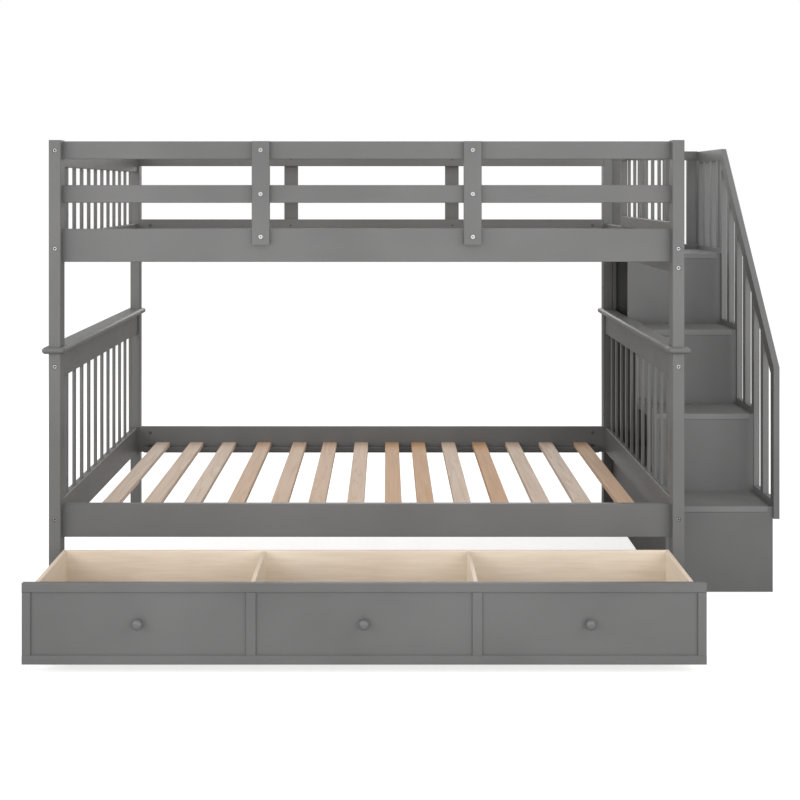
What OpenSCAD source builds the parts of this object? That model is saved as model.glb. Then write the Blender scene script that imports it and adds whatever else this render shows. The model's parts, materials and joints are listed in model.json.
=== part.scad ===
// Bunk bed over a full-size lower bed, with a storage staircase at the right end
// and a long drawer on wheels under the lower bed.
// Measured as it is built: X runs along the bed from its middle, Y runs back from the
// front faces of the front posts, Z runs up from the floor. The finished part is then
// moved so that its origin lies on the floor under the middle of its outline.

/* [Bed frame] */
// Length of the bed over the outer faces of the posts
bed_l = 2019; // [1800:1:2200]
// Depth of the bed over the front and back faces of the posts
bed_d = 1500; // [1400:1:1600]
// Width of a post along the bed
post_w = 38; // [34:1:50]
// Depth of a post from front to back
post_d = 57; // [50:1:75]
// Height of the lower posts
lower_post_h = 844; // [800:1:950]
// Height of the upper posts
upper_post_h = 658; // [620:1:720]
// Width of the flat that eases the long edges of every board
ease = 1.5; // [0.5:0.1:3]

/* [Ledge boards between lower and upper posts] */
// Thickness of a ledge board, whose edges are fully rounded
ledge_t = 21; // [16:1:28]
// How far a ledge board stands out past the posts at the ends of the bed
ledge_out = 20; // [12:1:30]
// How far a ledge board stands in past the posts
ledge_in = 15; // [12:1:25]
// How far a ledge board stands out at the front and the back
ledge_end = 15; // [12:1:25]
// Clearance between the notch in the right ledge board and the staircase
ledge_notch_gap = 2; // [1:0.5:6]

/* [Side rails] */
// Thickness of the side rails, flush with the inner faces of the posts
rail_t = 22; // [18:1:26]
// Height of a side rail
rail_h = 106; // [96:1:130]
// Height of the lower front rail above the floor
lower_rail_z = 254; // [252:1:290]
// Height of the lower back rail above the floor
lower_back_z = 266; // [252:1:290]
// Height of the upper side rails above the ledge boards
upper_rail_up = 269; // [240:1:290]

/* [Guard rails] */
// Height of a guard rail's face
guard_h = 57; // [45:1:65]
// Thickness of a guard rail
guard_t = 22; // [18:1:26]
// Drop from the top of a post to the top of the upper guard rail
guard_drop = 3; // [0:1:10]
// Distance between the tops of the two guard rails
guard_pitch = 140; // [110:1:160]
// Width of the uprights that tie the guard rails to the side rails
upright_w = 57; // [45:1:70]
// Thickness of those uprights
upright_t = 20; // [16:1:24]
// Distance of an upright's middle from the middle of the bed
upright_x = 338; // [300:1:400]
// Height of the part of a side rail that an upright covers
upright_lap = 50; // [40:1:70]

/* [End panels] */
// Thickness of the end panels' rails
end_t = 22; // [18:1:26]
// Height of the top rail of an end panel
end_top_h = 82; // [70:1:95]
// Height of the bottom rail of a lower end panel
end_low_h = 104; // [90:1:110]
// Height of the lower end panels' bottom rails above the floor
end_low_z = 266; // [256:1:290]
// Height of the bottom rail of an upper end panel
end_up_h = 88; // [80:1:95]
// Width of an end panel's slats
bar_w = 25; // [20:1:35]
// Thickness of an end panel's slats
bar_t = 8; // [6:1:12]
// Distance between the middles of an end panel's slats
bar_pitch = 116.5; // [105:0.5:120]
// Number of slats in an end panel
bar_n = 11; // [9:2:11]
// Depth of the mortises that hold the slats' ends
mortise = 10; // [6:1:14]

/* [Guard beside the upper entry] */
// Distance from the front post to the guard's stile
entry_guard_l = 922; // [850:1:960]
// Width of the stile at the entry
entry_stile_w = 30; // [25:1:50]
// Height of the guard's top rail
entry_top_h = 42; // [36:1:60]
// Height of the guard's bottom rail
entry_low_h = 40; // [32:1:60]
// Number of slats in the guard
entry_bar_n = 7; // [5:1:8]
// Height of the rail below that the landing hangs from
hanger_h = 35; // [30:1:45]

/* [Bed slats] */
// Number of slats in each bed
slat_n = 14; // [10:1:14]
// Width of a slat
slat_w = 57; // [50:1:75]
// Thickness of a slat
slat_t = 18; // [14:1:22]
// Distance from the posts' inner faces to the first and the last slat
slat_inset = 75; // [40:1:140]
// How far each slat of the lower bed lies to the right of its even place
slat_shifts = [-4, 3, 6, 20, 34, 27, 25, 19, -5, -13, -18, -13, -6, 7];
// Drop from the top of a side rail to the top of the slats
slat_drop = 53; // [40:1:60]
// Height of the cleats that carry the slats
cleat_h = 22; // [20:1:26]
// Depth of the cleats from front to back
cleat_d = 22; // [18:1:40]
// Clearance between a cleat's end and the post
cleat_gap = 21; // [5:1:60]

/* [Staircase] */
// Width of the staircase over its side panels
stair_w = 364; // [320:1:450]
// Gap between the bed's posts and the staircase
stair_gap = 0.5; // [0:0.5:2]
// Thickness of the staircase's panels
panel_t = 18; // [15:1:20]
// Thickness of the treads and of the landing
tread_t = 20; // [16:1:24]
// Height of the first tread's top above the floor
first_rise = 290; // [260:1:300]
// Depth of each step from riser to riser
going = 250; // [230:1:255]
// Depth of the landing, from its riser to the back of the bed
landing_d = 438; // [400:1:460]
// Drop from the upper side rails' lower edge to the landing's top
landing_drop = 19; // [10:1:30]
// How far the inner panel, the back and the strips along the outer side stand up past the treads
lip = 20; // [10:1:30]
// Height of the outer panel's face that such a strip covers
strip_lap = 20; // [16:1:30]
// Distance of the lower compartment's front wall behind the second riser
cubby_back = 60; // [50:1:100]
// Distance of the open space's front edge behind the third riser, above the second tread
cubby_mid = 57; // [40:1:90]
// Depth of the batten that is bolted to the back post
batten_w = 30; // [26:1:40]
// Thickness of the batten
batten_t = 15; // [12:1:20]

/* [Handrail] */
// Height of the rail's top above the first tread, over the first riser
hand_low = 484; // [450:1:520]
// Height of the rail's top above the landing
hand_up = 409; // [380:1:450]
// Height of the rail's section, square to its length
hand_h = 45; // [38:1:60]
// Thickness of the rail and of the newel
hand_t = 20; // [18:1:26]
// Width of the newel at the foot of the stairs
newel_w = 40; // [34:1:60]
// How far the newel stands in front of the first riser
newel_fore = 11; // [4:1:20]
// Depth of a baluster from front to back
baluster_w = 38; // [34:1:40]
// Thickness of a baluster
baluster_t = 20; // [14:1:20]
// Number of balusters over each step
step_bar_n = 2; // [1:1:2]
// Number of balusters over the landing
landing_bar_n = 3; // [2:1:3]
// Distance from the newel's front to the front of the first baluster
baluster_fore = 135; // [120:1:150]
// How far the last baluster over the steps begins in front of the landing
baluster_over = 12; // [8:1:20]
// Distance of the first baluster over the landing behind the landing's edge
baluster_back = 42; // [38:1:60]
// Height of the panels' faces that the newels and the guard's slats cover
newel_lap = 60; // [40:1:80]
// Height of the guard's rail behind the landing
back_rail_h = 38; // [34:1:50]
// Height of that rail's top above the handrail's
back_rail_up = 2; // [0:1:8]
// Width of the stiles of the guard behind the landing
back_stile_w = 41; // [34:1:50]
// Width of the slats of the guard behind the landing
back_bar_w = 30; // [24:1:38]
// Number of slats in the guard behind the landing
back_bar_n = 2; // [2:1:3]

/* [Drawer] */
// Height of the drawer's front
front_h = 230; // [200:1:232]
// Height of the drawer front's lower edge above the floor
front_z = 24; // [18:1:26]
// Clearance between the drawer's front and each post
front_gap = 4; // [3:1:10]
// Thickness of the front board behind its frame
front_t = 14; // [12:1:16]
// Thickness of the applied frame
frame_t = 6; // [4:1:8]
// Height of the frame's top rail
frame_top = 26; // [20:1:35]
// Height of the frame's bottom rail
frame_low = 26; // [20:1:35]
// Width of the frame's end stiles
frame_end = 25; // [20:1:35]
// Width of the frame's two middle stiles
frame_mid = 29; // [20:1:40]
// Distance of a middle stile from the middle of the drawer
frame_mid_x = 320; // [290:1:345]
// Distance of the closed front behind the front faces of the posts
front_set = 4; // [0:1:12]
// Width of the drawer's box
box_w = 1878; // [1800:1:1900]
// Depth of the drawer's box behind its front
box_d = 376; // [340:1:450]
// How far the box stays below the top of the front
box_drop = 5; // [4:1:20]
// Thickness of the box's sides, back and dividers
wall_t = 12; // [9:1:15]
// Thickness of the drawer's bottom
bottom_t = 6; // [4:1:9]
// Height of the drawer's bottom above the floor
bottom_z = 45; // [44:1:50]
// How far the dividers stay below the box's top
divider_drop = 2; // [0:1:30]
// Distance of a divider from the middle of the drawer
divider_x = 318; // [280:1:340]
// How far the drawer is drawn out
drawer_out = 505; // [400:1:520]

/* [Knobs and wheels] */
// Height of the knobs above the middle of the drawer's panels
knob_up = 2; // [0:1:20]
// Diameter of a knob
knob_dia = 30; // [26:1:40]
// Length of a knob from the panel that it stands on
knob_l = 31; // [28:1:40]
// Diameter of a knob's neck
knob_neck = 13; // [11:1:16]
// Diameter of a drawer wheel
wheel_dia = 40; // [36:1:42]
// Width of a drawer wheel
wheel_w = 18; // [14:1:24]
// Diameter of a wheel's axle
axle_dia = 6; // [5:0.5:8]
// Side play between a wheel and its bracket
wheel_play = 1; // [0.5:0.1:2]
// Thickness of a wheel bracket's cheeks and plate
bracket_t = 3; // [2:0.5:3]
// Distance of a wheel's middle from the side of the drawer's box
wheel_side = 89; // [60:1:160]
// Distance of a wheel from the front board or the back of the box
wheel_in = 62; // [40:1:80]

/* [Fasteners] */
// Diameter of the frame bolts
bolt_dia = 8; // [6:1:8]
// Diameter of the frame bolts' heads
head_dia = 12; // [11:0.5:13]
// Diameter of the counterbores round the heads
bore_dia = 15; // [14.5:0.5:16]
// Depth of a head's face in its counterbore
bore_in = 1.2; // [0.5:0.1:2]
// Thickness of a bolt's head
head_t = 5; // [3:0.5:6]
// Width of a bolt head's hexagon socket across its flats
hex_w = 6; // [5:0.5:6]
// Depth of that socket
hex_d = 3; // [2:0.5:3]
// Diameter of the barrel nuts
nut_dia = 14; // [12:1:16]
// Length of the barrel nuts
nut_l = 18; // [14:1:18]
// Distance from a rail's end to its barrel nuts
nut_in = 45; // [40:1:60]
// Length of a bolt past its barrel nut
bolt_past = 12; // [8:1:20]
// Diameter of the bolts through the guards' uprights
tie_dia = 6; // [5:0.5:7]
// Diameter of those bolts' heads and nuts
tie_head_dia = 13; // [11:0.5:16]
// Thickness of those bolts' heads and nuts
tie_head_t = 3; // [2:0.5:4]
// Width of those heads' hexagon sockets across their flats
tie_hex_w = 4; // [3:0.5:4.5]
// Diameter of the dowels through the ledge boards and in the guard's ends
dowel_dia = 10; // [8:0.5:12]
// Depth of a dowel in each piece that it joins
dowel_in = 30; // [20:1:40]
// Diameter of the wood screws
screw_dia = 4; // [3:0.5:5]
// Diameter of the wood screws' heads
screw_head = 8; // [7:0.5:9]
// Depth of a wood screw in the piece that it holds
screw_in = 14; // [8:1:14]
// Radial fit between a fastener or an axle and its hole
fit = 0.05; // [0.02:0.01:0.09]

/* [Hidden] */
$fn = 48;

grey = "dimgray";
pine = "burlywood";
birch = "wheat";
steel = "silver";
rubber = "black";

eps = 1;
post_x = bed_l / 2 - post_w / 2;
inner_x = bed_l / 2 - post_w;
inner_d = bed_d - 2 * post_d;
upper_z0 = lower_post_h + ledge_t;
post_top = upper_z0 + upper_post_h;
upper_rail_z = upper_z0 + upper_rail_up;
rail_mid_y = post_d - rail_t / 2;

guard_top_z = post_top - guard_drop - guard_h;
guard_mid_z = guard_top_z - guard_pitch;
upright_z0 = upper_rail_z + rail_h - upright_lap;
upright_z1 = post_top - guard_drop;

end_top_z = lower_post_h - end_top_h;
end_up_top_z = post_top - guard_drop - end_top_h;
end_mid_y = bed_d / 2;

entry_x = inner_x + end_t / 2;
entry_low_z = upper_rail_z + end_up_h;
entry_top_z = post_top - guard_drop - entry_top_h;
entry_pitch = (entry_guard_l + bar_w) / (entry_bar_n + 1);
hanger_z = upper_rail_z - hanger_h;

slat_l = inner_d;
slat_pitch = (2 * (inner_x - slat_inset) - slat_w) / (slat_n - 1);
cleat_l = 2 * (inner_x - cleat_gap);
lower_slat_z = lower_rail_z + rail_h - slat_drop;
upper_slat_z = upper_rail_z + rail_h - slat_drop;

stair_x0 = bed_l / 2 + stair_gap;
stair_x1 = stair_x0 + stair_w;
tread_x0 = stair_x0 + panel_t;
tread_x1 = stair_x1 - panel_t;
landing_z = upper_rail_z - landing_drop;
landing_y = bed_d - landing_d;
step_n = 3;
riser_0 = landing_y - step_n * going;
rise = (landing_z - first_rise) / step_n;
back_y1 = bed_d - hand_t;
back_y0 = back_y1 - panel_t;
wall_y1 = riser_0 + going + cubby_back + panel_t;
inner_end_y = landing_y + panel_t;
mid_y = riser_0 + 2 * going + panel_t + cubby_mid;
roof_z = first_rise + rise - tread_t;
floor_z = first_rise - panel_t;

function riser_y(k) = riser_0 + k * going;
function tread_z(k) = first_rise + k * rise;

hand_z0 = first_rise + hand_low;
hand_z1 = landing_z + hand_up;
hand_slope = (hand_z1 - hand_z0) / (landing_y - riser_0);
hand_drop = hand_h * sqrt(1 + hand_slope * hand_slope);
newel_y = riser_0 - newel_fore;
hand_x1 = stair_x1 + hand_t;
hand_under_y = landing_y + (hand_drop - hand_h) / hand_slope;
stair_bar_y0 = newel_y + baluster_fore;
stair_bar_n = step_bar_n * step_n;
stair_bar_pitch = (landing_y - baluster_over - stair_bar_y0) / (stair_bar_n - 1);
landing_bar_y0 = landing_y + baluster_back;
landing_bar_pitch = (bed_d - baluster_w - landing_bar_y0) / landing_bar_n;

// Strips along the treads' outer ends: each ends behind the last baluster that it carries.
function stair_bar_y(i) = stair_bar_y0 + i * stair_bar_pitch;
function strip_y(k) = k == 0 ? newel_y + newel_w
  : k > step_n ? bed_d - baluster_w
  : stair_bar_y(step_bar_n * k - 1) + baluster_w;

guard_back_x0 = stair_x0 + 3;
guard_back_x1 = stair_x1 - 4;

front_w = 2 * inner_x - 2 * front_gap;
front_z1 = front_z + front_h;
front_y = front_set + frame_t;
box_y0 = front_y + front_t;
box_y1 = box_y0 + box_d;
box_z0 = bottom_z + bottom_t;
box_z1 = front_z1 - box_drop;
panel_end_x = (frame_mid_x + frame_mid / 2 + front_w / 2 - frame_end) / 2;
knob_z = (front_z + frame_low + front_z1 - frame_top) / 2 + knob_up;
knob_xs = [-panel_end_x, 0, panel_end_x];
wheel_x = box_w / 2 - wheel_side;
wheel_ys = [box_y0 + wheel_in, box_y1 - wheel_in];
wheel_r = wheel_dia / 2;
cheek_x = wheel_w / 2 + wheel_play;

origin_x = (hand_x1 - bed_l / 2 - ledge_out) / 2;
origin_y = (bed_d + ledge_end + front_y - knob_l - drawer_out) / 2;

// Moves the finished pieces so that the origin lies under the middle of the outline.
module placed() {
  translate([-origin_x, -origin_y, 0]) children();
}

// The drawer's pieces are drawn closed, then drawn out.
module drawn() {
  placed() translate([0, -drawer_out, 0]) children();
}

module eased(a, b) {
  polygon([[ease, 0], [a - ease, 0], [a, ease], [a, b - ease],
           [a - ease, b], [ease, b], [0, b - ease], [0, ease]]);
}

// Boards with eased long edges: each starts at its lowest corner.
module board_x(l, d, h) {
  rotate([90, 0, 90]) linear_extrude(l) eased(d, h);
}

module board_y(w, l, h) {
  translate([0, l, 0]) rotate([90, 0, 0]) linear_extrude(l) eased(w, h);
}

module board_z(w, d, l) {
  linear_extrude(l) eased(w, d);
}

// Outline in the Y-Z plane, thickened along X.
module plate_x(x, t) {
  translate([x, 0, 0]) rotate([90, 0, 90]) linear_extrude(t) children();
}

module rod_x(x0, x1, dia) {
  translate([x0, 0, 0]) rotate([0, 90, 0]) cylinder(h = x1 - x0, d = dia);
}

module rod_y(y0, y1, dia) {
  translate([0, y1, 0]) rotate([90, 0, 0]) cylinder(h = y1 - y0, d = dia);
}

module mirrored_x(side) {
  if (side < 0) mirror([1, 0, 0]) children(); else children();
}

module front_or_back(back) {
  if (back) translate([0, bed_d, 0]) mirror([0, 1, 0]) children(); else children();
}

// Heights of the bolts that hold the end rails, for each side of the bed.
top_bolt_drop = 30;

function end_bolt_zs(side) = [
  end_low_z + end_low_h / 2, end_top_z + end_top_h / 2, upper_rail_z + end_up_h / 2,
  side < 0 ? end_up_top_z + end_top_h - top_bolt_drop : hanger_z + hanger_h / 2,
];

// Heights of the bolts that hold the side rails and guard rails.
rail_bolt_up = 26;
guard_bolt_up = 14;

function low_rail_z(back) = back ? lower_back_z : lower_rail_z;
function rail_bolt_zs(z) = [z + rail_bolt_up, z + rail_h - rail_bolt_up];
function side_bolt_zs(back) = concat(rail_bolt_zs(low_rail_z(back)), rail_bolt_zs(upper_rail_z));
guard_bolt_zs = [guard_mid_z + guard_bolt_up, guard_top_z + guard_bolt_up];

// Bolt with its head just below y = 0, running along +Y.
seat_y = bore_in + head_t;

module bolt_y(l) {
  difference() {
    union() {
      rod_y(bore_in, seat_y, head_dia);
      rod_y(seat_y - 0.5, l, bolt_dia);
    }
    translate([0, bore_in + hex_d, 0]) rotate([90, 0, 0])
      cylinder(h = hex_d + eps, d = hex_w / cos(30), $fn = 6);
  }
}

module bolt_y_hole(l) {
  rod_y(-eps, seat_y, bore_dia);
  rod_y(0, l + 1, bolt_dia + 2 * fit);
}

// Barrel nut along Z with the bolt's hole across it, along Y.
module barrel_nut() {
  difference() {
    translate([0, 0, -nut_l / 2]) cylinder(h = nut_l, d = nut_dia);
    rod_y(-nut_dia, nut_dia, bolt_dia + 2 * fit);
  }
}

end_bolt_l = post_d + nut_in + bolt_past;
side_bolt_l = post_w + nut_in + bolt_past;

// Places for the bolts that run in from the front and back faces of the posts.
module at_end_bolts(side, back, zs) {
  front_or_back(back) for (z = zs) translate([side * post_x, 0, z]) children();
}

// Places for the bolts that run in from the outer faces of the posts.
module at_side_bolts(side, back, zs) {
  front_or_back(back) mirrored_x(side) for (z = zs)
    translate([bed_l / 2, rail_mid_y, z]) rotate([0, 0, 90]) children();
}

module post_holes(side, back) {
  at_end_bolts(side, back, end_bolt_zs(side)) bolt_y_hole(end_bolt_l);
  at_side_bolts(side, back, concat(side_bolt_zs(back), guard_bolt_zs)) bolt_y_hole(side_bolt_l);
}

module dowel_hole(side, back) {
  translate([side * post_x, back ? bed_d - post_d / 2 : post_d / 2, lower_post_h - dowel_in - 0.5])
    cylinder(h = 2 * dowel_in + ledge_t + 1, d = dowel_dia + 2 * fit);
}

module post(side, back, z0, h) {
  placed() color(grey) difference() {
    translate([side * post_x - post_w / 2, back ? bed_d - post_d : 0, z0]) board_z(post_w, post_d, h);
    post_holes(side, back);
    dowel_hole(side, back);
    if (side > 0 && back) stair_bolt_holes();
    if (side > 0 && !back) entry_dowel_holes();
  }
}

module lower_post(side, back) {
  post(side, back, 0, lower_post_h);
}

module upper_post(side, back) {
  post(side, back, upper_z0, upper_post_h);
}

// Ledge board with fully rounded edges, lying on the lower posts.
module ledge_shape() {
  w = ledge_in + post_w + ledge_out;
  l = bed_d + 2 * ledge_end;
  r = ledge_t / 2;
  translate([inner_x - ledge_in, -ledge_end, lower_post_h]) {
    translate([r, r, 0]) cube([w - 2 * r, l - 2 * r, ledge_t]);
    translate([0, 0, r]) {
      for (x = [r, w - r]) translate([x, 0, 0]) rod_y(r, l - r, ledge_t);
      for (y = [r, l - r]) translate([0, y, 0]) rod_x(r, w - r, ledge_t);
      for (x = [r, w - r], y = [r, l - r]) translate([x, y, 0]) sphere(d = ledge_t);
    }
  }
}

module ledge(side) {
  placed() color(grey) difference() {
    mirrored_x(side) ledge_shape();
    for (back = [false, true]) dowel_hole(side, back);
    if (side > 0)
      translate([bed_l / 2, newel_y - ledge_notch_gap, lower_post_h - eps])
        cube([ledge_out + eps, bed_d, ledge_t + 2 * eps]);
  }
}

// End panels: rails between the posts, with slats let into them.
module at_bars() {
  for (i = [0 : bar_n - 1])
    translate([0, end_mid_y + (i - (bar_n - 1) / 2) * bar_pitch - bar_w / 2, 0]) children();
}

module end_rail(side, z, h, zs) {
  difference() {
    translate([side * post_x - end_t / 2, post_d, z]) board_y(end_t, inner_d, h);
    for (back = [false, true], b = zs) {
      at_end_bolts(side, back, [b]) bolt_y_hole(end_bolt_l);
      at_end_nuts(side, back, [b]) end_nut_hole();
    }
  }
}

nut_skin = (end_t - nut_l) / 2;

module at_end_nuts(side, back, zs) {
  front_or_back(back) for (z = zs)
    translate([side * post_x, post_d + nut_in, z]) mirrored_x(side) rotate([0, 90, 0]) children();
}

module end_nut_hole() {
  translate([0, 0, -nut_l / 2]) cylinder(h = nut_l + nut_skin + eps, d = nut_dia + 2 * fit);
}

module end_rails(side, low_z, low_h, top_z, bolts) {
  placed() color(grey) difference() {
    union() {
      end_rail(side, low_z, low_h, [bolts[0]]);
      end_rail(side, top_z, end_top_h, [bolts[1]]);
    }
    end_bars(side, low_z + low_h, top_z);
  }
}

module end_bars(side, z0, z1) {
  at_bars() translate([side * post_x - bar_t / 2, 0, z0 - mortise])
    cube([bar_t, bar_w, z1 - z0 + 2 * mortise]);
}

module end_slats(side, z0, z1) {
  placed() color(grey) end_bars(side, z0, z1);
}

module upper_right_end_rail() {
  placed() color(grey) end_rail(1, upper_rail_z, end_up_h, [end_bolt_zs(1)[2]]);
}

module stair_hanger_rail() {
  placed() color(grey) end_rail(1, hanger_z, hanger_h, [end_bolt_zs(1)[3]]);
}

// Guard beside the entry, flush with the inner faces of the posts.
module entry_bars() {
  for (i = [1 : entry_bar_n])
    translate([entry_x - bar_t / 2, post_d + i * entry_pitch - bar_w, entry_low_z + entry_low_h - mortise])
      cube([bar_t, bar_w, entry_top_z - entry_low_z - entry_low_h + 2 * mortise]);
}

entry_dowel_zs = [entry_low_z + entry_low_h / 2, entry_top_z + entry_top_h / 2];
entry_dowel_in = 18;
entry_dowel_dia = 8;

module entry_dowel_holes() {
  for (z = entry_dowel_zs) translate([entry_x, 0, z])
    rod_y(post_d - entry_dowel_in - 0.5, post_d + entry_dowel_in + 0.5, entry_dowel_dia + 2 * fit);
}

module entry_guard_frame() {
  placed() color(grey) difference() {
    union() {
      for (rail = [[entry_low_z, entry_low_h], [entry_top_z, entry_top_h]])
        translate([inner_x, post_d, rail[0]]) board_y(end_t, entry_guard_l, rail[1]);
      translate([inner_x, post_d + entry_guard_l, entry_low_z])
        board_z(end_t, entry_stile_w, entry_top_z + entry_top_h - entry_low_z);
    }
    entry_bars();
    entry_dowel_holes();
  }
}

module entry_guard_slats() {
  placed() color(grey) entry_bars();
}

// Side rails between the posts, with the cleats and slats inside them.
module rail_bolt_holes(zs) {
  for (side = [-1, 1]) at_side_bolts(side, false, zs) bolt_y_hole(side_bolt_l);
}

module rail_nut_holes(zs) {
  for (side = [-1, 1]) mirrored_x(side) for (z = zs) translate([inner_x - nut_in, rail_mid_y, z])
    rod_y(-nut_l / 2, rail_t / 2 + eps, nut_dia + 2 * fit);
}

tie_zs = [upright_z0 + upright_lap / 2, guard_mid_z + guard_h / 2, guard_top_z + guard_h / 2];

module tie_holes(zs) {
  for (x = [-upright_x, upright_x], z = zs) translate([x, 0, z])
    rod_y(post_d - guard_t - upright_t - eps, post_d + eps, tie_dia + 2 * fit);
}

module side_rail(back, z, ties) {
  placed() color(grey) front_or_back(back) difference() {
    translate([-inner_x, post_d - rail_t, z]) board_x(2 * inner_x, rail_t, rail_h);
    rail_bolt_holes(rail_bolt_zs(z));
    rail_nut_holes(rail_bolt_zs(z));
    tie_holes(ties);
  }
}

module guard_rails(back) {
  placed() color(grey) front_or_back(back) difference() {
    for (z = [guard_mid_z, guard_top_z])
      translate([-inner_x, post_d - guard_t, z]) board_x(2 * inner_x, guard_t, guard_h);
    rail_bolt_holes(guard_bolt_zs);
    tie_holes([tie_zs[1], tie_zs[2]]);
  }
}

module guard_uprights() {
  placed() color(grey) for (back = [false, true]) front_or_back(back) difference() {
    for (x = [-upright_x, upright_x])
      translate([x - upright_w / 2, post_d - rail_t - upright_t, upright_z0])
        board_z(upright_w, upright_t, upright_z1 - upright_z0);
    tie_holes(tie_zs);
  }
}

module upright_bolts() {
  outer = post_d - rail_t - upright_t;
  placed() color(steel) for (back = [false, true]) front_or_back(back)
    for (x = [-upright_x, upright_x], z = tie_zs) translate([x, 0, z]) {
      difference() {
        rod_y(outer - tie_head_t, post_d + tie_head_t / 2, tie_dia);
        translate([0, outer, 0]) rotate([90, 0, 0])
          cylinder(h = tie_head_t + eps, d = tie_hex_w / cos(30), $fn = 6);
      }
      difference() {
        rod_y(outer - tie_head_t, outer, tie_head_dia);
        rod_y(outer - tie_head_t - eps, outer + eps, tie_dia);
      }
    }
}

module cleats(z) {
  for (back = [false, true]) front_or_back(back)
    translate([-cleat_l / 2, post_d, z - slat_t - cleat_h]) board_x(cleat_l, cleat_d, cleat_h);
}

module slat_cleats() {
  placed() color(grey) {
    cleats(lower_slat_z);
    cleats(upper_slat_z);
  }
}

module bed_slats(z, shifts) {
  placed() color(pine) for (i = [0 : slat_n - 1]) {
    shift = i < len(shifts) ? shifts[i] : 0;
    translate([(i - (slat_n - 1) / 2) * slat_pitch + shift - slat_w / 2, post_d, z - slat_t])
      board_y(slat_w, slat_l, slat_t);
  }
}

// Staircase: stepped side panels with risers, treads and two open compartments.
module stair_inner_side() {
  placed() color(grey) plate_x(stair_x0, panel_t) polygon([
    [riser_0, 0], [back_y0, 0], [back_y0, floor_z], [wall_y1, floor_z],
    [wall_y1, roof_z], [mid_y, roof_z], [mid_y, roof_z + rise], [inner_end_y, roof_z + rise],
    [inner_end_y, landing_z - tread_t], [landing_y, landing_z - tread_t],
    [landing_y, tread_z(2) + lip], [riser_y(2), tread_z(2) + lip],
    [riser_y(2), tread_z(1) + lip], [riser_y(1), tread_z(1) + lip],
    [riser_y(1), tread_z(0) + lip], [riser_0, tread_z(0) + lip],
  ]);
}

module stair_outer_side() {
  placed() color(grey) difference() {
    plate_x(tread_x1, panel_t) polygon([
      [riser_0, 0], [back_y0, 0], [back_y0, landing_z], [landing_y, landing_z],
      [landing_y, tread_z(2)], [riser_y(2), tread_z(2)], [riser_y(2), tread_z(1)],
      [riser_y(1), tread_z(1)], [riser_y(1), tread_z(0)], [riser_0, tread_z(0)],
    ]);
    foot_screw_holes();
  }
}

module stair_risers() {
  placed() color(grey) for (k = [0 : step_n]) {
    foot = k == 0 ? 0 : tread_z(k - 1);
    translate([tread_x0, riser_y(k), foot])
      cube([tread_x1 - tread_x0, panel_t, tread_z(k) - tread_t - foot]);
  }
}

// Treads, and the strips along the outer ends of the treads and of the landing.
module stair_treads() {
  placed() color(grey) {
    for (k = [0 : step_n - 1]) translate([tread_x0, riser_y(k), tread_z(k) - tread_t])
      board_x(tread_x1 - tread_x0, going + panel_t, tread_t);
    difference() {
      for (k = [0 : step_n]) translate([stair_x1, strip_y(k), tread_z(k) - strip_lap])
        board_y(hand_t, strip_y(k + 1) - strip_y(k), strip_lap + lip);
      foot_screw_holes();
    }
  }
}

module stair_landing() {
  placed() color(grey) translate([stair_x0, landing_y, landing_z - tread_t])
    board_x(tread_x1 - stair_x0, back_y0 - landing_y, tread_t);
}

module stair_back() {
  placed() color(grey) difference() {
    translate([stair_x0, back_y0, 0]) cube([stair_w, panel_t, landing_z + lip]);
    back_screw_holes();
  }
}

// Floor and front wall of the open space under the stairs.
module stair_storage() {
  placed() color(grey) {
    translate([stair_x0, wall_y1, floor_z])
      cube([tread_x1 - stair_x0, back_y0 - wall_y1, panel_t]);
    translate([tread_x0, wall_y1 - panel_t, 0]) cube([tread_x1 - tread_x0, panel_t, roof_z]);
  }
}

batten_z = first_rise;
batten_h = landing_z - tread_t - batten_z;
stair_bolt_in = 10;
stair_bolt_y = bed_d - post_d + stair_bolt_in;
stair_bolt_zs = [batten_z + batten_h / 6, batten_z + batten_h * 5 / 6];
stair_bolt_dia = 6;

module stair_bolt_holes() {
  for (z = stair_bolt_zs) translate([0, stair_bolt_y, z])
    rod_x(inner_x - eps, stair_x0 + batten_t - 2, stair_bolt_dia + 2 * fit);
}

module stair_batten() {
  placed() color(grey) difference() {
    translate([stair_x0, back_y0 - batten_w, batten_z]) board_z(batten_t, batten_w, batten_h);
    stair_bolt_holes();
  }
}

// Handrail along the outer side, sloped over the steps and level over the landing.
module under_rail() {
  polygon([
    [newel_y - eps, 0], [bed_d + eps, 0], [bed_d + eps, hand_z1 - hand_h],
    [hand_under_y, hand_z1 - hand_h],
    [newel_y - eps, hand_z0 - hand_drop - (newel_fore + eps) * hand_slope],
  ]);
}

module handrail() {
  placed() color(grey) {
    plate_x(stair_x1, hand_t) polygon([
      [newel_y, hand_z0 - newel_fore * hand_slope], [landing_y, hand_z1],
      [hand_under_y, hand_z1 - hand_h],
      [newel_y, hand_z0 - newel_fore * hand_slope - hand_drop],
    ]);
    plate_x(stair_x1, hand_t) polygon([
      [landing_y, hand_z1], [bed_d, hand_z1],
      [bed_d, hand_z1 - hand_h], [hand_under_y, hand_z1 - hand_h],
    ]);
  }
}

module rail_post(y, w, t, foot) {
  intersection() {
    translate([stair_x1, y, foot]) cube([t, w, hand_z1 - foot]);
    plate_x(stair_x1 - eps, t + 2 * eps) under_rail();
  }
}

module handrail_newels() {
  placed() color(grey) difference() {
    union() {
      rail_post(newel_y, newel_w, hand_t, first_rise + lip - newel_lap);
      rail_post(bed_d - baluster_w, baluster_w, hand_t, landing_z + lip - newel_lap);
    }
    foot_screw_holes();
  }
}

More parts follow.
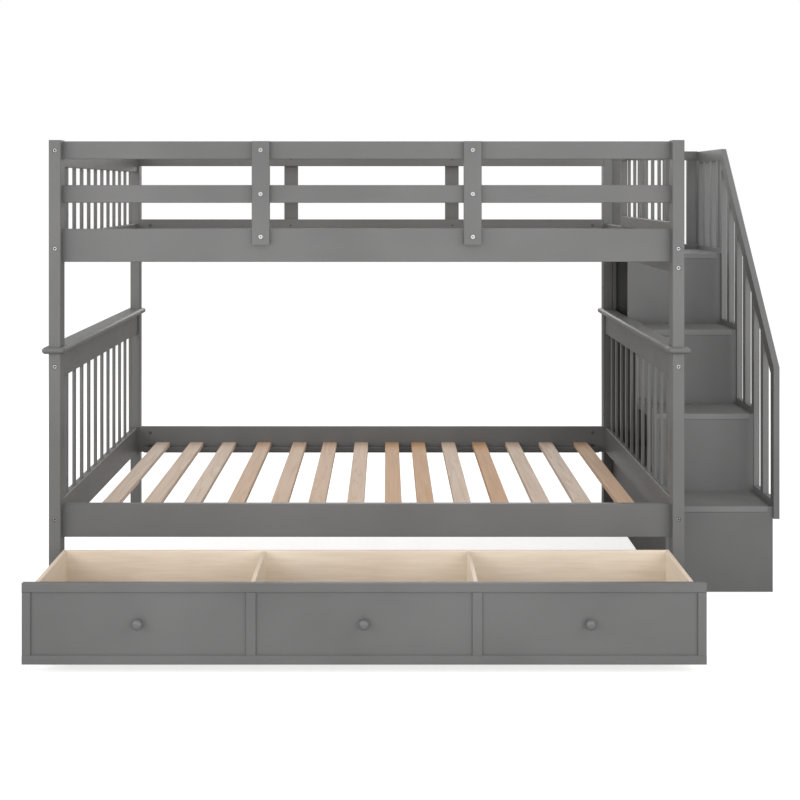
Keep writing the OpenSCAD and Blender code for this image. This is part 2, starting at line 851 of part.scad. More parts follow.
module handrail_balusters() {
  placed() color(grey) {
    for (i = [0 : stair_bar_n - 1])
      rail_post(stair_bar_y(i), baluster_w, baluster_t, tread_z(floor(i / step_bar_n)) + lip);
    for (i = [0 : landing_bar_n - 1])
      rail_post(landing_bar_y0 + i * landing_bar_pitch, baluster_w, baluster_t, landing_z + lip);
  }
}

// The front newel has one screw into the outer panel and each strip has two, their heads let in.
screw_head_t = 3;
screw_end = 30;

foot_screws = [
  [newel_y + newel_w * 3 / 4, first_rise - (newel_lap - lip) / 2],
  for (k = [0 : step_n], y = [strip_y(k) + screw_end, strip_y(k + 1) - screw_end])
    [y, tread_z(k) - strip_lap / 2],
];

module at_foot_screws() {
  for (s = foot_screws) translate([stair_x1 + hand_t, s[0], s[1]]) rotate([0, 0, 90]) children();
}

module foot_screw_holes() {
  at_foot_screws() {
    rod_y(-eps, screw_head_t, screw_head + 2 * fit);
    rod_y(0, hand_t + screw_in + 0.5, screw_dia + 2 * fit);
  }
}

// Guard behind the landing, screwed to the back of the staircase's back panel.
back_foot_z = landing_z + lip - newel_lap;
back_rail_z = hand_z1 + back_rail_up - back_rail_h;
back_span = guard_back_x1 - guard_back_x0 - back_stile_w;

function back_post_x(k) = guard_back_x0 + back_stile_w / 2 + k * back_span / (back_bar_n + 1);

module landing_guard_rail() {
  placed() color(grey) translate([stair_x0, back_y1, back_rail_z])
    board_x(stair_w, hand_t, back_rail_h);
}

module landing_guard_slats() {
  placed() color(grey) difference() {
    for (k = [0 : back_bar_n + 1]) {
      w = k == 0 || k == back_bar_n + 1 ? back_stile_w : back_bar_w;
      translate([back_post_x(k) - w / 2, back_y1, back_foot_z])
        board_z(w, baluster_t, back_rail_z - back_foot_z);
    }
    back_screw_holes();
  }
}

module at_back_screws() {
  for (k = [0 : back_bar_n + 1])
    translate([back_post_x(k), back_y1 + baluster_t, back_foot_z + newel_lap / 2])
      rotate([0, 0, 180]) children();
}

module back_screw_holes() {
  at_back_screws() {
    rod_y(-eps, screw_head_t, screw_head + 2 * fit);
    rod_y(0, baluster_t + screw_in + 0.5, screw_dia + 2 * fit);
  }
}

// Drawer: front with an applied frame, a light box behind it, knobs and wheels.
module drawer_front() {
  drawn() color(grey) difference() {
    translate([-front_w / 2, front_y, front_z]) board_x(front_w, front_t, front_h);
    knob_screw_holes();
  }
}

module drawer_front_frame() {
  mid_z = front_z + frame_low;
  mid_h = front_h - frame_low - frame_top;
  drawn() color(grey) translate([0, front_set, 0]) {
    for (rail = [[front_z, frame_low], [front_z1 - frame_top, frame_top]])
      translate([-front_w / 2, 0, rail[0]]) board_x(front_w, frame_t, rail[1]);
    for (x = [-front_w / 2, front_w / 2 - frame_end])
      translate([x, 0, mid_z]) board_z(frame_end, frame_t, mid_h);
    for (x = [-frame_mid_x, frame_mid_x])
      translate([x - frame_mid / 2, 0, mid_z]) board_z(frame_mid, frame_t, mid_h);
  }
}

module drawer_sides() {
  drawn() color(birch) for (x = [-box_w / 2, box_w / 2 - wall_t])
    translate([x, box_y0, box_z0]) board_y(wall_t, box_d, box_z1 - box_z0);
}

module drawer_back() {
  drawn() color(birch) translate([-box_w / 2 + wall_t, box_y1 - wall_t, box_z0])
    board_x(box_w - 2 * wall_t, wall_t, box_z1 - box_z0);
}

module drawer_bottom() {
  drawn() color(birch) translate([-box_w / 2, box_y0, bottom_z]) cube([box_w, box_d, bottom_t]);
}

module drawer_dividers() {
  drawn() color(birch) for (x = [-divider_x, divider_x])
    translate([x - wall_t / 2, box_y0, box_z0])
      board_y(wall_t, box_d - wall_t, box_z1 - divider_drop - box_z0);
}

// Turned knob: its profile runs from the panel out to the crown.
module knob_shape() {
  neck_r = knob_neck / 2;
  base_r = 1.45 * neck_r;
  crown = knob_dia / 2;
  rotate([90, 0, 0]) rotate_extrude() polygon([
    [0, 0], [base_r, 0], [base_r, 0.1 * knob_l], [neck_r, 0.2 * knob_l], [neck_r, 0.48 * knob_l],
    [0.8 * crown, 0.6 * knob_l], [crown, 0.74 * knob_l], [0.93 * crown, 0.87 * knob_l],
    [0.67 * crown, 0.97 * knob_l], [0, knob_l],
  ]);
}

module at_knobs() {
  for (x = knob_xs) translate([x, front_y, knob_z]) children();
}

module knob_screw_holes() {
  at_knobs() rod_y(-screw_in - 0.5, front_t + eps, screw_dia + 2 * fit);
}

module drawer_knobs() {
  drawn() color(grey) difference() {
    at_knobs() knob_shape();
    knob_screw_holes();
  }
}

// Wheels under the drawer, each on an axle between the cheeks of its bracket.
module at_wheel(side, row) {
  translate([side * wheel_x, wheel_ys[row], wheel_r]) children();
}

module wheel_brackets() {
  cheek_d = 24;
  cheek_low = 9;
  drawn() color(steel) for (side = [-1, 1], row = [0, 1]) at_wheel(side, row) difference() {
    union() {
      for (x = [-cheek_x - bracket_t, cheek_x]) translate([x, -cheek_d / 2, -cheek_low])
        cube([bracket_t, cheek_d, bottom_z - wheel_r + cheek_low]);
      translate([-cheek_x - bracket_t, -cheek_d / 2, bottom_z - wheel_r - bracket_t])
        cube([2 * (cheek_x + bracket_t), cheek_d, bracket_t]);
    }
    rod_x(-wheel_w * 2, wheel_w * 2, axle_dia + 2 * fit);
  }
}

module wheel_axles() {
  end_x = cheek_x + bracket_t + 2;
  drawn() color(steel) for (side = [-1, 1], row = [0, 1]) at_wheel(side, row)
    rod_x(-end_x, end_x, axle_dia);
}

module wheel(side, row) {
  hub_dia = axle_dia + 5;
  drawn() color(rubber) at_wheel(side, row) difference() {
    rod_x(-wheel_w / 2, wheel_w / 2, wheel_dia);
    rod_x(-wheel_w, wheel_w, axle_dia + 2 * fit);
    for (x = [-wheel_w / 2 - eps, wheel_w / 2 - 2]) translate([x, 0, 0]) difference() {
      rod_x(0, 2 + eps, wheel_dia - 6);
      rod_x(-eps, 2 + 2 * eps, hub_dia);
    }
  }
}

// Fasteners that hold the frame together.
module frame_bolts() {
  placed() color(steel) for (side = [-1, 1], back = [false, true]) {
    at_end_bolts(side, back, end_bolt_zs(side)) bolt_y(end_bolt_l);
    at_side_bolts(side, back, concat(side_bolt_zs(back), guard_bolt_zs)) bolt_y(side_bolt_l);
  }
}

module barrel_nuts() {
  placed() color(steel) for (side = [-1, 1], back = [false, true]) {
    at_end_nuts(side, back, end_bolt_zs(side)) barrel_nut();
    front_or_back(back) mirrored_x(side) for (z = side_bolt_zs(back))
      translate([inner_x - nut_in, rail_mid_y, z]) rotate([90, 0, 0]) rotate([0, 0, 90]) barrel_nut();
  }
}

module wood_screw(l) {
  difference() {
    union() {
      rod_y(0, screw_head_t, screw_head);
      rod_y(screw_head_t - 0.5, l, screw_dia);
    }
    translate([0, 1.5, 0]) rotate([90, 0, 0]) cylinder(h = 1.5 + eps, d = 3, $fn = 6);
  }
}

module dowels_and_screws() {
  placed() color(pine) {
    for (side = [-1, 1], y = [post_d / 2, bed_d - post_d / 2])
      translate([side * post_x, y, lower_post_h - dowel_in])
        cylinder(h = 2 * dowel_in + ledge_t, d = dowel_dia);
    for (z = entry_dowel_zs) translate([entry_x, 0, z])
      rod_y(post_d - entry_dowel_in, post_d + entry_dowel_in, entry_dowel_dia);
  }
  placed() color(steel) {
    for (z = stair_bolt_zs) translate([0, stair_bolt_y, z]) {
      rod_x(inner_x, stair_x0 + batten_t - 3, stair_bolt_dia);
      difference() {
        rod_x(inner_x - tie_head_t, inner_x, tie_head_dia);
        rod_x(inner_x - 2, inner_x + eps, stair_bolt_dia);
      }
    }
    at_foot_screws() wood_screw(hand_t + screw_in);
    at_back_screws() wood_screw(baluster_t + screw_in);
  }
}

lower_post(-1, false);  // post_lower_front_left
lower_post(1, false);  // post_lower_front_right
lower_post(-1, true);  // post_lower_back_left
lower_post(1, true);  // post_lower_back_right
upper_post(-1, false);  // post_upper_front_left
upper_post(1, false);  // post_upper_front_right
upper_post(-1, true);  // post_upper_back_left
upper_post(1, true);  // post_upper_back_right
ledge(-1);  // ledge_left
ledge(1);  // ledge_right
end_rails(-1, end_low_z, end_low_h, end_top_z, end_bolt_zs(-1));  // lower_left_end_rails
end_slats(-1, end_low_z + end_low_h, end_top_z);  // lower_left_end_slats
end_rails(1, end_low_z, end_low_h, end_top_z, end_bolt_zs(1));  // lower_right_end_rails
end_slats(1, end_low_z + end_low_h, end_top_z);  // lower_right_end_slats
end_rails(-1, upper_rail_z, end_up_h, end_up_top_z, [end_bolt_zs(-1)[2], end_bolt_zs(-1)[3]]);  // upper_left_end_rails
end_slats(-1, upper_rail_z + end_up_h, end_up_top_z);  // upper_left_end_slats
upper_right_end_rail();
stair_hanger_rail();
entry_guard_frame();
entry_guard_slats();
side_rail(false, lower_rail_z, []);  // lower_front_rail
side_rail(true, lower_back_z, []);  // lower_back_rail
side_rail(false, upper_rail_z, [tie_zs[0]]);  // upper_front_rail
side_rail(true, upper_rail_z, [tie_zs[0]]);  // upper_back_rail
slat_cleats();
bed_slats(lower_slat_z, slat_shifts);  // lower_bed_slats
bed_slats(upper_slat_z, []);  // upper_bed_slats
guard_rails(false);  // front_guard_rails
guard_rails(true);  // back_guard_rails
guard_uprights();
stair_inner_side();
stair_outer_side();
stair_risers();
stair_treads();
stair_landing();
stair_back();
stair_storage();
stair_batten();
handrail();
handrail_newels();
handrail_balusters();
landing_guard_rail();
landing_guard_slats();
drawer_front();
drawer_front_frame();
drawer_sides();
drawer_back();
drawer_bottom();
drawer_dividers();
drawer_knobs();
wheel_brackets();
wheel_axles();
wheel(-1, 0);  // wheel_front_left
wheel(1, 0);  // wheel_front_right
wheel(-1, 1);  // wheel_back_left
wheel(1, 1);  // wheel_back_right
frame_bolts();
barrel_nuts();
upright_bolts();
dowels_and_screws();
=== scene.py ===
# Bunk bed with a storage staircase and a drawer on wheels: its looks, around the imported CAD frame
import json
import math

import bmesh
import bpy
from mathutils import Matrix, Vector


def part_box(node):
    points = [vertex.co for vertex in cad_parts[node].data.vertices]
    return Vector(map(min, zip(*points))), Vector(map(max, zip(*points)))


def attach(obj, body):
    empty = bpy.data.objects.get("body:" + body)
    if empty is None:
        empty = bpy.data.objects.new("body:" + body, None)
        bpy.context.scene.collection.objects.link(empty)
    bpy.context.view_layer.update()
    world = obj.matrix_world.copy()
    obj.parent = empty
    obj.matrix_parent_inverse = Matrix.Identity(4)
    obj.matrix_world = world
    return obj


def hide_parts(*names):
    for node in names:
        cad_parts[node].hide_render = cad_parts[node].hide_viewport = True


mm = 0.001

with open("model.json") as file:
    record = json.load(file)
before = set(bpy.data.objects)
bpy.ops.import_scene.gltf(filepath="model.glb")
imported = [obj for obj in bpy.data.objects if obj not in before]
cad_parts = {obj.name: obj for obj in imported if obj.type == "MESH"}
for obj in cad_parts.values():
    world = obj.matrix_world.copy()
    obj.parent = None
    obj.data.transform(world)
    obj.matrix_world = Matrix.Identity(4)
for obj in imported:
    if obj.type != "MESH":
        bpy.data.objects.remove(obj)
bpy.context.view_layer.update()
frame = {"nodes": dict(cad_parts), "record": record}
cadNodes = frame["nodes"]
print("frame loaded with", len(cadNodes), "nodes")

noiseSpan = (0.3, 0.7)  # the part of its range that a noise mostly keeps to
mergeGap = 0.001 * mm


# Small helpers for materials

def startMaterial(name):
    mat = bpy.data.materials.new(name)
    mat.use_nodes = True
    return mat, mat.node_tree, mat.node_tree.nodes["Principled BSDF"]


def feed(tree, socket, value):
    if isinstance(value, bpy.types.NodeSocket):
        tree.links.new(value, socket)
    else:
        socket.default_value = value


def objectCoords(tree):
    return tree.nodes.new("ShaderNodeTexCoord").outputs["Object"]


def mapped(tree, coords, scale, turn=(0, 0, 0), shift=(0, 0, 0)):
    node = tree.nodes.new("ShaderNodeMapping")
    feed(tree, node.inputs["Vector"], coords)
    feed(tree, node.inputs["Scale"], scale)
    feed(tree, node.inputs["Rotation"], turn)
    feed(tree, node.inputs["Location"], shift)
    return node.outputs["Vector"]


def noise(tree, coords, detail=3.0, roughness=0.5, distortion=0.0):
    node = tree.nodes.new("ShaderNodeTexNoise")
    feed(tree, node.inputs["Vector"], coords)
    node.inputs["Scale"].default_value = 1.0
    node.inputs["Detail"].default_value = detail
    node.inputs["Roughness"].default_value = roughness
    node.inputs["Distortion"].default_value = distortion
    return node.outputs["Fac"]


def ranged(tree, value, low, high, outLow, outHigh):
    node = tree.nodes.new("ShaderNodeMapRange")
    feed(tree, node.inputs["Value"], value)
    node.inputs["From Min"].default_value = low
    node.inputs["From Max"].default_value = high
    node.inputs["To Min"].default_value = outLow
    node.inputs["To Max"].default_value = outHigh
    return node.outputs["Result"]


def maths(tree, operation, a, b=0.0):
    node = tree.nodes.new("ShaderNodeMath")
    node.operation = operation
    feed(tree, node.inputs[0], a)
    feed(tree, node.inputs[1], b)
    return node.outputs[0]


def ramp(tree, value, stops, interpolation="LINEAR"):
    node = tree.nodes.new("ShaderNodeValToRGB")
    node.color_ramp.interpolation = interpolation
    points = node.color_ramp.elements
    while len(points) < len(stops):
        points.new(0.5)
    for point, (place, color) in zip(points, stops):
        point.position = place
        point.color = (*color, 1)
    feed(tree, node.inputs["Fac"], value)
    return node.outputs["Color"]


def toned(tree, value, look):
    darkAt, lightAt = look["toneSpan"]
    return ramp(tree, value, [(darkAt, look["dark"]), (lightAt, look["light"])])


def blended(tree, a, b, share):
    rest = maths(tree, "MULTIPLY", b, 1 - share)
    return maths(tree, "ADD", maths(tree, "MULTIPLY", a, share), rest)


def roughened(tree, shader, value, look):
    feed(tree, shader.inputs["Roughness"], ranged(tree, value, *noiseSpan, *look["roughness"]))


def mixed(tree, factor, a, b):
    node = tree.nodes.new("ShaderNodeMix")
    node.data_type = "RGBA"
    feed(tree, node.inputs[0], factor)
    feed(tree, node.inputs[6], a)
    feed(tree, node.inputs[7], b)
    return node.outputs[2]


def bumped(tree, height, distance, normal=None):
    node = tree.nodes.new("ShaderNodeBump")
    node.inputs["Strength"].default_value = 1.0
    node.inputs["Distance"].default_value = distance
    feed(tree, node.inputs["Height"], height)
    if normal is not None:
        feed(tree, node.inputs["Normal"], normal)
    return node.outputs["Normal"]


# Satin grey paint over solid wood, whose grain shows a little along each board
paintLook = {
    "dark": (0.108, 0.108, 0.107),
    "light": (0.128, 0.128, 0.127),
    "toneSpan": (0.36, 0.64),
    "grainScale": 260.0,
    "grainStretch": 22.0,
    "grainDetail": 4.0,
    "grainRoughness": 0.6,
    "grainBend": 0.3,
    "grainShare": 0.2,
    "grainDepth": 0.03 * mm,
    "peelScale": 900.0,
    "peelDetail": 1.0,
    "peelDepth": 0.02 * mm,
    "cloudScale": 3.1,
    "cloudDetail": 2.0,
    "roughness": (0.40, 0.52),
    "coat": 0.08,
    "coatRoughness": 0.3,
}
# The balusters, the treads and the landing get a paler copy of the paint: painted light, standing
# in for the light and highlights that fall on them
litPaintLook = {**paintLook, "dark": (0.150, 0.150, 0.149), "light": (0.178, 0.178, 0.177)}


def makePaint(name, look, along, turn=(0, 0, 0)):
    mat, tree, shader = startMaterial(name)
    coords = objectCoords(tree)
    fine = [look["grainScale"]] * 3
    fine[along] /= look["grainStretch"]
    grain = noise(tree, mapped(tree, coords, fine, turn), look["grainDetail"],
                  look["grainRoughness"], look["grainBend"])
    peel = noise(tree, mapped(tree, coords, [look["peelScale"]] * 3), look["peelDetail"])
    cloud = noise(tree, mapped(tree, coords, [look["cloudScale"]] * 3), look["cloudDetail"])
    tone = blended(tree, grain, cloud, look["grainShare"])
    feed(tree, shader.inputs["Base Color"], toned(tree, tone, look))
    roughened(tree, shader, grain, look)
    normal = bumped(tree, grain, look["grainDepth"])
    feed(tree, shader.inputs["Normal"], bumped(tree, peel, look["peelDepth"], normal))
    shader.inputs["Coat Weight"].default_value = look["coat"]
    shader.inputs["Coat Roughness"].default_value = look["coatRoughness"]
    return mat


# Bare pine: each slat has its own tone, long grain lines and a few knots
pineLook = {
    "pitch": 133.54 * mm,
    "middle": -182.25 * mm,
    "warmth": [0, 0.15, 0.1, 0.55, 0.45, 0.5, 0.35, 0.9, 1, 0.2, 1, 0.2, 0.05, 0.7],
    "cool": (0.675, 0.58, 0.495),
    "warm": (0.56, 0.345, 0.195),
    "lineDark": (0.42, 0.24, 0.12),
    "lineShare": 0.34,
    "drawSeed": 40.5,
    "drawShift": 40.0,
    "grainScale": 95.0,
    "grainStretch": 26.0,
    "grainDetail": 6.0,
    "grainRoughness": 0.65,
    "ringScale": 5.0,
    "ringDetail": 1.5,
    "ringBend": 0.6,
    "ringCount": 9.0,
    "ringLine": (0.55, 1.0),
    "knot": (0.16, 0.07, 0.03),
    "knotScale": 7.0,
    "knotStretch": (1.0, 0.5, 1.0),
    "knotRarity": 0.62,
    "knotEdge": (0.05, 0.13),
    "depth": 0.12 * mm,
    "roughness": (0.52, 0.68),
    "specular": 0.35,
}


def makePine(name):
    look = pineLook
    mat, tree, shader = startMaterial(name)
    coords = objectCoords(tree)
    split = tree.nodes.new("ShaderNodeSeparateXYZ")
    feed(tree, split.inputs[0], coords)
    place = maths(tree, "SUBTRACT", split.outputs["X"], look["middle"])
    slat = maths(tree, "FLOOR", maths(tree, "DIVIDE", place, look["pitch"]))

    # The tone of this slat
    count = len(look["warmth"])
    cool, warm = Vector(look["cool"]), Vector(look["warm"])
    stops = [(i / count, cool.lerp(warm, share)) for i, share in enumerate(look["warmth"])]
    share = maths(tree, "DIVIDE", maths(tree, "ADD", slat, count / 2 + 0.5), count)
    tone = ramp(tree, share, stops, "CONSTANT")

    # Grain and rings, from another place in the wood for each slat
    draw = tree.nodes.new("ShaderNodeTexWhiteNoise")
    draw.noise_dimensions = "1D"
    feed(tree, draw.inputs["W"], maths(tree, "ADD", slat, look["drawSeed"]))
    moved = tree.nodes.new("ShaderNodeVectorMath")
    moved.operation = "SCALE"
    feed(tree, moved.inputs[0], draw.outputs["Color"])
    moved.inputs["Scale"].default_value = look["drawShift"]
    shift = moved.outputs[0]
    along = [look["grainScale"], look["grainScale"] / look["grainStretch"], look["grainScale"]]
    grain = noise(tree, mapped(tree, coords, along, shift=shift), look["grainDetail"],
                  look["grainRoughness"])
    broad = [v / look["ringScale"] for v in along]
    rings = noise(tree, mapped(tree, coords, broad, shift=shift), look["ringDetail"],
                  distortion=look["ringBend"])
    bands = maths(tree, "FRACT", maths(tree, "MULTIPLY", rings, look["ringCount"]))
    lines = ranged(tree, bands, *look["ringLine"], 0.0, 1.0)

    # Knots, in some of the cells
    cells = tree.nodes.new("ShaderNodeTexVoronoi")
    cells.inputs["Scale"].default_value = look["knotScale"]
    feed(tree, cells.inputs["Vector"], mapped(tree, coords, look["knotStretch"], shift=shift))
    pick = tree.nodes.new("ShaderNodeSeparateColor")
    feed(tree, pick.inputs[0], cells.outputs["Color"])
    chosen = maths(tree, "GREATER_THAN", pick.outputs[0], look["knotRarity"])
    near = ranged(tree, cells.outputs["Distance"], *look["knotEdge"], 1.0, 0.0)
    knots = maths(tree, "MULTIPLY", chosen, near)

    lineDark = (*look["lineDark"], 1)
    grained = mixed(tree, maths(tree, "MULTIPLY", grain, look["lineShare"]), tone, lineDark)
    ringed = mixed(tree, maths(tree, "MULTIPLY", lines, look["lineShare"]), grained, lineDark)
    feed(tree, shader.inputs["Base Color"], mixed(tree, knots, ringed, (*look["knot"], 1)))
    roughened(tree, shader, grain, look)
    feed(tree, shader.inputs["Normal"], bumped(tree, grain, look["depth"]))
    shader.inputs["Specular IOR Level"].default_value = look["specular"]
    return mat


# Light birch plywood with its layers showing on the upward edges
birchLook = {
    "dark": (0.66, 0.55, 0.44),
    "light": (0.78, 0.69, 0.57),
    "toneSpan": (0.34, 0.66),
    "grainScale": 120.0,
    "grainStretch": 14.0,
    "grainDetail": 5.0,
    "grainRoughness": 0.6,
    "grainBend": 0.5,
    "grainShare": 0.5,
    "cloudScale": 3.0,
    "cloudDetail": 2.0,
    "layer": 1.5 * mm,
    "layerDark": (0.46, 0.31, 0.20),
    "layerShare": 0.55,
    "upward": 0.9,
    "depth": 0.06 * mm,
    "roughness": (0.42, 0.55),
}


def makeBirch(name, along, through):
    look = birchLook
    mat, tree, shader = startMaterial(name)
    coords = objectCoords(tree)
    fine = [look["grainScale"]] * 3
    fine[along] /= look["grainStretch"]
    grain = noise(tree, mapped(tree, coords, fine), look["grainDetail"], look["grainRoughness"],
                  look["grainBend"])
    cloud = noise(tree, mapped(tree, coords, [look["cloudScale"]] * 3), look["cloudDetail"])
    color = toned(tree, blended(tree, grain, cloud, look["grainShare"]), look)
    if through != "Z":
        split = tree.nodes.new("ShaderNodeSeparateXYZ")
        feed(tree, split.inputs[0], coords)
        layers = maths(tree, "DIVIDE", split.outputs[through], 2 * look["layer"])
        odd = maths(tree, "GREATER_THAN", maths(tree, "FRACT", layers), 0.5)
        banded = maths(tree, "MULTIPLY", odd, look["layerShare"])
        edge = mixed(tree, banded, color, (*look["layerDark"], 1))
        facing = tree.nodes.new("ShaderNodeSeparateXYZ")
        feed(tree, facing.inputs[0], tree.nodes.new("ShaderNodeNewGeometry").outputs["True Normal"])
        upward = maths(tree, "GREATER_THAN", facing.outputs["Z"], look["upward"])
        color = mixed(tree, upward, color, edge)
    feed(tree, shader.inputs["Base Color"], color)
    roughened(tree, shader, grain, look)
    feed(tree, shader.inputs["Normal"], bumped(tree, grain, look["depth"]))
    return mat


# Zinc-plated steel of the bolts, dowels, screws, brackets and axles
steelLook = {
    "dark": (0.22, 0.22, 0.23),
    "light": (0.36, 0.36, 0.35),
    "toneSpan": (0.3, 0.6),
    "scale": 420.0,
    "roughness": (0.26, 0.42),
    "depth": 0.02 * mm,
}
# Barrel nuts, painted darker as painted shade, because they lie a little below the faces of the
# rails
nutShadeLook = {**steelLook, "dark": (0.06, 0.06, 0.06), "light": (0.12, 0.12, 0.12),
           "roughness": (0.30, 0.45)}
# Bolt heads, bright on their outer faces, with painted shade in the sockets and holes behind them
boltShadeLook = {
    "dark": (0.03, 0.03, 0.03),
    "faceDepth": 0.4 * mm,
}


def startSteel(name, look):
    mat, tree, shader = startMaterial(name)
    cloud = noise(tree, mapped(tree, objectCoords(tree), [look["scale"]] * 3))
    roughened(tree, shader, cloud, look)
    shader.inputs["Metallic"].default_value = 1.0
    return mat, tree, shader, cloud


def makeSteel(name, look):
    mat, tree, shader, cloud = startSteel(name, look)
    feed(tree, shader.inputs["Base Color"], toned(tree, cloud, look))
    feed(tree, shader.inputs["Normal"], bumped(tree, cloud, look["depth"]))
    return mat


def makeBoltSteelWithPaintedShade(name, nodeName):
    mat, tree, shader, cloud = startSteel(name, steelLook)
    low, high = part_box(nodeName)
    split = tree.nodes.new("ShaderNodeSeparateXYZ")
    feed(tree, split.inputs[0], objectCoords(tree))
    # Painted shade: points more than faceDepth inside the outer faces of the node's box are
    # coloured dark
    inner = []
    for letter, a, b in (("X", low.x, high.x), ("Y", low.y, high.y)):
        out = maths(tree, "ABSOLUTE", maths(tree, "SUBTRACT", split.outputs[letter], (a + b) / 2))
        inner.append(maths(tree, "LESS_THAN", out, (b - a) / 2 - boltShadeLook["faceDepth"]))
    socketShade = maths(tree, "MULTIPLY", *inner)
    face = toned(tree, cloud, steelLook)
    feed(tree, shader.inputs["Base Color"], mixed(tree, socketShade, face, (*boltShadeLook["dark"], 1)))
    return mat


# Black moulded plastic of the wheels
plasticLook = {
    "dark": (0.012, 0.012, 0.013),
    "light": (0.024, 0.024, 0.025),
    "toneSpan": (0.3, 0.7),
    "scale": 600.0,
    "detail": 2.0,
    "roughness": (0.45, 0.62),
    "depth": 0.03 * mm,
}


def makePlastic(name):
    look = plasticLook
    mat, tree, shader = startMaterial(name)
    speckle = noise(tree, mapped(tree, objectCoords(tree), [look["scale"]] * 3), look["detail"])
    feed(tree, shader.inputs["Base Color"], toned(tree, speckle, look))
    roughened(tree, shader, speckle, look)
    feed(tree, shader.inputs["Normal"], bumped(tree, speckle, look["depth"]))
    return mat


railSlope = math.radians(45)  # the handrail's grain runs up along it
paints = [makePaint("paintAlong" + letter, paintLook, i) for i, letter in enumerate("XYZ")]
# Paler copies of the paint for the balusters, treads and landing: painted light
balusterLitPaint = makePaint("paintBalustersPaintedLight", litPaintLook, 2)
treadLitPaint = makePaint("paintTreadsPaintedLight", litPaintLook, 0)
plastic = makePlastic("wheelPlastic")
birchSides = makeBirch("birchSides", 1, "X")

# Materials for single nodes, then for whole slots
nodeLooks = {
    "handrail": makePaint("paintHandrail", paintLook, 1, (-railSlope, 0, 0)),
    # Balusters, treads and landing take the paler paint, which is painted light
    "handrail_balusters": balusterLitPaint,
    "stair_treads": treadLitPaint,
    "stair_landing": treadLitPaint,
    # Barrel nuts: steel darkened with painted shade
    "barrel_nuts": makeSteel("nutSteelPaintedShade", nutShadeLook),
    # Bolts: steel with painted shade in the sockets and holes
    "frame_bolts": makeBoltSteelWithPaintedShade("frame_boltsPaintedShadeSteel", "frame_bolts"),
    "upright_bolts": makeBoltSteelWithPaintedShade("upright_boltsPaintedShadeSteel", "upright_bolts"),
    "drawer_sides": birchSides,
    "drawer_dividers": birchSides,
    "drawer_back": makeBirch("birchBack", 0, "Y"),
    "drawer_bottom": makeBirch("birchBottom", 0, "Z"),
}
slotLooks = {
    "pine": makePine("pineSlats"),
    "steel": makeSteel("zincSteel", steelLook),
    "wheel_plastic": plastic,
}
print("materials made")


# Painted nodes whose boards run along X or Y; the boards of all others run along Z
boardsAlong = {
    0: ["lower_front_rail", "lower_back_rail", "upper_front_rail", "upper_back_rail", "slat_cleats",
        "front_guard_rails", "back_guard_rails", "landing_guard_rail", "drawer_front",
        "drawer_front_frame", "drawer_knobs"],
    1: ["ledge_left", "ledge_right", "lower_left_end_rails", "lower_right_end_rails",
        "upper_left_end_rails", "upper_right_end_rail", "stair_hanger_rail", "entry_guard_frame"],
}


def lookOf(name, slotName):
    if name in nodeLooks:
        return nodeLooks[name]
    if slotName in slotLooks:
        return slotLooks[slotName]
    for along, names in boardsAlong.items():
        if name in names:
            return paints[along]
    return paints[2]


slotOf = {row["node"]: row["material_slot"] for row in frame["record"]["subparts"]}
for nodeName, node in cadNodes.items():
    node.data.materials.clear()
    node.data.materials.append(lookOf(nodeName, slotOf[nodeName]))
print("materials given to the CAD nodes")


def finishPiece(name, shape, material, body, smooth=True):
    bmesh.ops.remove_doubles(shape, verts=shape.verts, dist=mergeGap)
    bmesh.ops.recalc_face_normals(shape, faces=shape.faces)
    mesh = bpy.data.meshes.new(name)
    shape.to_mesh(mesh)
    shape.free()
    for face in mesh.polygons:
        face.use_smooth = smooth
    mesh.materials.append(material)
    piece = bpy.data.objects.new(name, mesh)
    bpy.context.scene.collection.objects.link(piece)
    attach(piece, body)
    return piece


# Turns a profile of (radius, distance along the axis) points round the axis at place
def spun(shape, profile, place, axis, steps):
    up = Vector((0, 0, 1))
    verts = [shape.verts.new(place + axis * out + up * radius) for radius, out in profile]
    edges = [shape.edges.new(pair) for pair in zip(verts, verts[1:])]
    bmesh.ops.spin(shape, geom=verts + edges, cent=place, axis=axis, angle=math.tau, steps=steps,
                   use_merge=True)


# Turned knobs with a soft crown and a waisted neck
knobLook = {
    "profile": [(0.0, 1.0), (0.34, 0.995), (0.62, 0.97), (0.86, 0.90), (0.98, 0.81), (1.0, 0.72),
                (0.93, 0.62), (0.72, 0.53), (0.52, 0.44), (0.44, 0.34), (0.43, 0.22), (0.50, 0.12),
                (0.61, 0.055), (0.63, 0.0), (0.0, 0.0)],
    "steps": 40,
}


def makeKnobs():
    low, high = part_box("drawer_knobs")
    radius = (high.z - low.z) / 2
    length = high.y - low.y
    middleZ = (low.z + high.z) / 2
    shape = bmesh.new()
    for x in (low.x + radius, (low.x + high.x) / 2, high.x - radius):
        profile = [(r * radius, out * length) for r, out in knobLook["profile"]]
        spun(shape, profile, Vector((x, high.y, middleZ)), Vector((0, -1, 0)), knobLook["steps"])
    knobs = finishPiece("turnedKnobs", shape, paints[0], "drawer")
    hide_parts("drawer_knobs")


makeKnobs()
print("knobs made")


# Drawer wheels: a rounded tyre, a dished web with ribs, and a hub
wheelLook = {
    "profile": [(0.16, -0.97), (0.27, -0.97), (0.29, -0.40), (0.70, -0.36), (0.76, -0.92),
                (0.90, -0.98), (0.985, -0.78), (1.0, -0.35), (1.0, 0.35), (0.985, 0.78),
                (0.90, 0.98), (0.76, 0.92), (0.70, 0.36), (0.29, 0.40), (0.27, 0.97), (0.16, 0.97),
                (0.16, -0.97)],
    "steps": 44,
    "ribs": 6,
    "ribThick": 1.6 * mm,
    "ribOut": 0.80,
    "ribReach": (0.28, 0.73),
}


